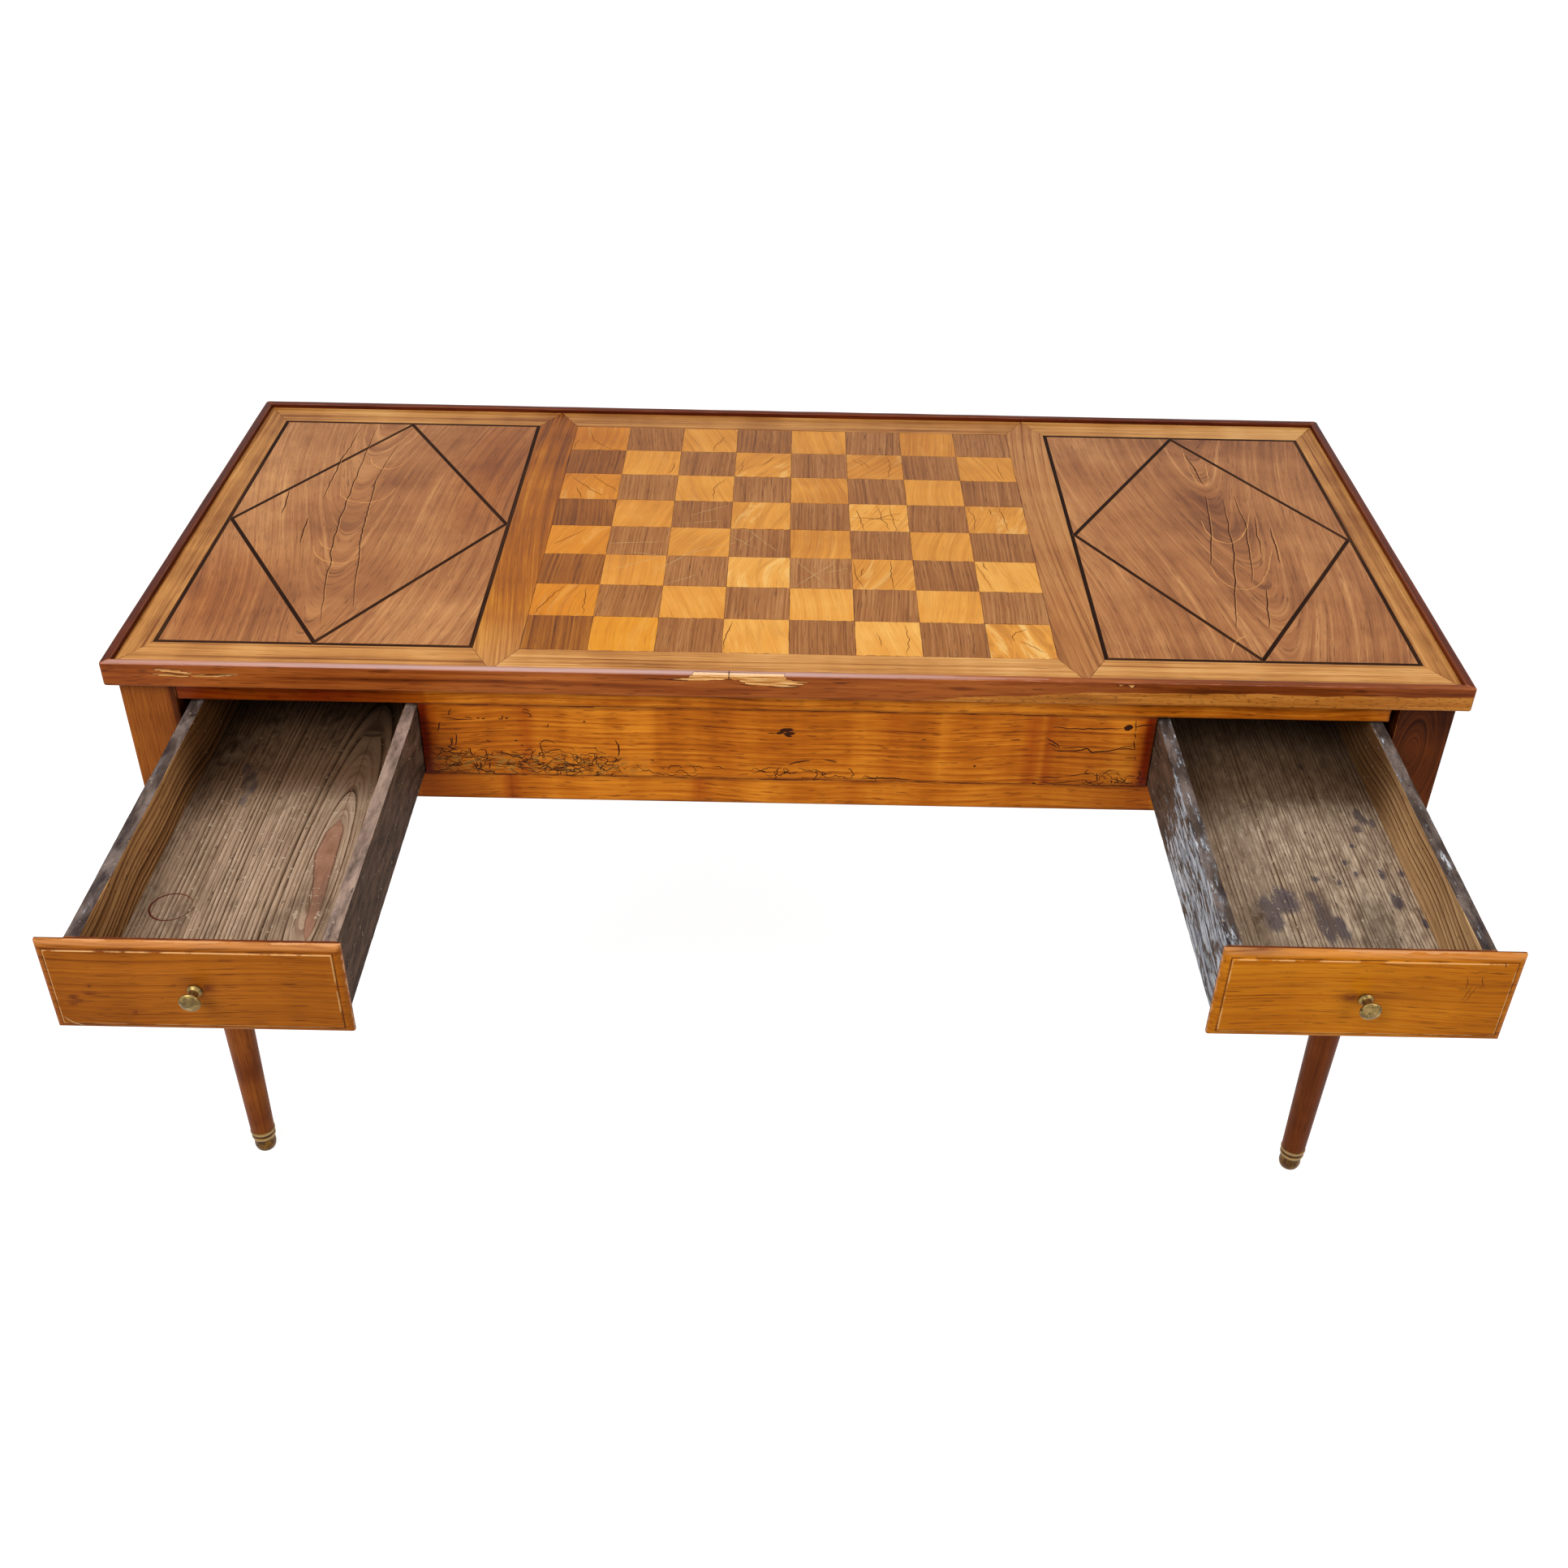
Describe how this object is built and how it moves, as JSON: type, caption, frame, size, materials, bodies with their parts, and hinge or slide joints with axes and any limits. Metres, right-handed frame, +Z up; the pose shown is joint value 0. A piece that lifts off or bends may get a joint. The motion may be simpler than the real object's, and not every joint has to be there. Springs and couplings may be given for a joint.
{
  "type": "tric trac table",
  "caption": "Long games table with a reversible lift-off marquetry top over a playing well, lipped front drawers and tapered round legs in brass feet.",
  "frame": {"origin": "on the floor, under the middle of the table's whole reach with both drawers pulled out as stored", "axes": "+X to the right along the length as seen from the drawer side, +Y from the drawer side to the back, +Z up"},
  "size_m": [1.318, 0.9995, 0.71],
  "materials": {
    "border_cherry": "waxed light cherry, straight grain along each band",
    "field_cherry": "waxed red-brown cherry with an arched figure",
    "rim_mahogany": "worn varnished mahogany",
    "case_cherry": "varnished honey-brown cherry with worm tracks",
    "leg_mahogany": "varnished red-brown mahogany",
    "chessboard": "satin boxwood and walnut squares",
    "stringing": "ebonised stringing",
    "pine": "bare old pine, grey and stained",
    "drawer_front": "golden varnish over cherry",
    "aged_brass": "tarnished brass",
    "green_baize": "napped green baize",
    "well_floor_wood": "dark waxed wood with inlaid points"
  },
  "bodies": {
    "case": {"apron_back": "case_cherry", "apron_left": "case_cherry", "apron_right": "case_cherry", "end_tray_left": "case_cherry", "end_tray_right": "case_cherry", "front_lower_rail": "case_cherry", "front_panel": "case_cherry", "front_top_rail": "case_cherry", "leg_back_left": "leg_mahogany", "leg_back_right": "leg_mahogany", "leg_front_left": "leg_mahogany", "leg_front_right": "leg_mahogany", "partition_left": "case_cherry", "partition_right": "case_cherry", "runner_left_inner": "pine", "runner_left_outer": "pine", "runner_right_inner": "pine", "runner_right_outer": "pine", "sabot_back_left": "aged_brass", "sabot_back_right": "aged_brass", "sabot_front_left": "aged_brass", "sabot_front_right": "aged_brass", "well_bar": "rim_mahogany", "well_floor": "well_floor_wood"},
    "top": {"baize_underside": "green_baize", "border_back_centre": "border_cherry", "border_back_left": "border_cherry", "border_back_right": "border_cherry", "border_end_left": "border_cherry", "border_end_right": "border_cherry", "border_front_centre": "border_cherry", "border_front_left": "border_cherry", "border_front_right": "border_cherry", "chessboard": "chessboard", "divider_left": "border_cherry", "divider_right": "border_cherry", "lozenge_field_left": "field_cherry", "lozenge_field_right": "field_cherry", "lozenge_stringing_left": "stringing", "lozenge_stringing_right": "stringing", "rim_back": "rim_mahogany", "rim_front": "rim_mahogany", "rim_left": "rim_mahogany", "rim_right": "rim_mahogany", "stringing_frame_left": "stringing", "stringing_frame_right": "stringing", "top_core": "pine"},
    "drawer_left": {"drawer_left_back": "pine", "drawer_left_bottom": "pine", "drawer_left_front": "drawer_front", "drawer_left_left_side": "pine", "drawer_left_right_side": "pine", "knob_left": "aged_brass"},
    "drawer_right": {"drawer_right_back": "pine", "drawer_right_bottom": "pine", "drawer_right_front": "drawer_front", "drawer_right_left_side": "pine", "drawer_right_right_side": "pine", "knob_right": "aged_brass"}
  },
  "joints": [
    {"name": "top_lift", "type": "slide", "parent": "case", "child": "top", "axis": [0, 0, 1], "range_m": [0, 0.25]},
    {"name": "drawer_left_slide", "type": "slide", "parent": "case", "child": "drawer_left", "axis": [0, -1, 0], "range_m": [-0.358, 0.072]},
    {"name": "drawer_right_slide", "type": "slide", "parent": "case", "child": "drawer_right", "axis": [0, -1, 0], "range_m": [-0.342, 0.088]}
  ]
}
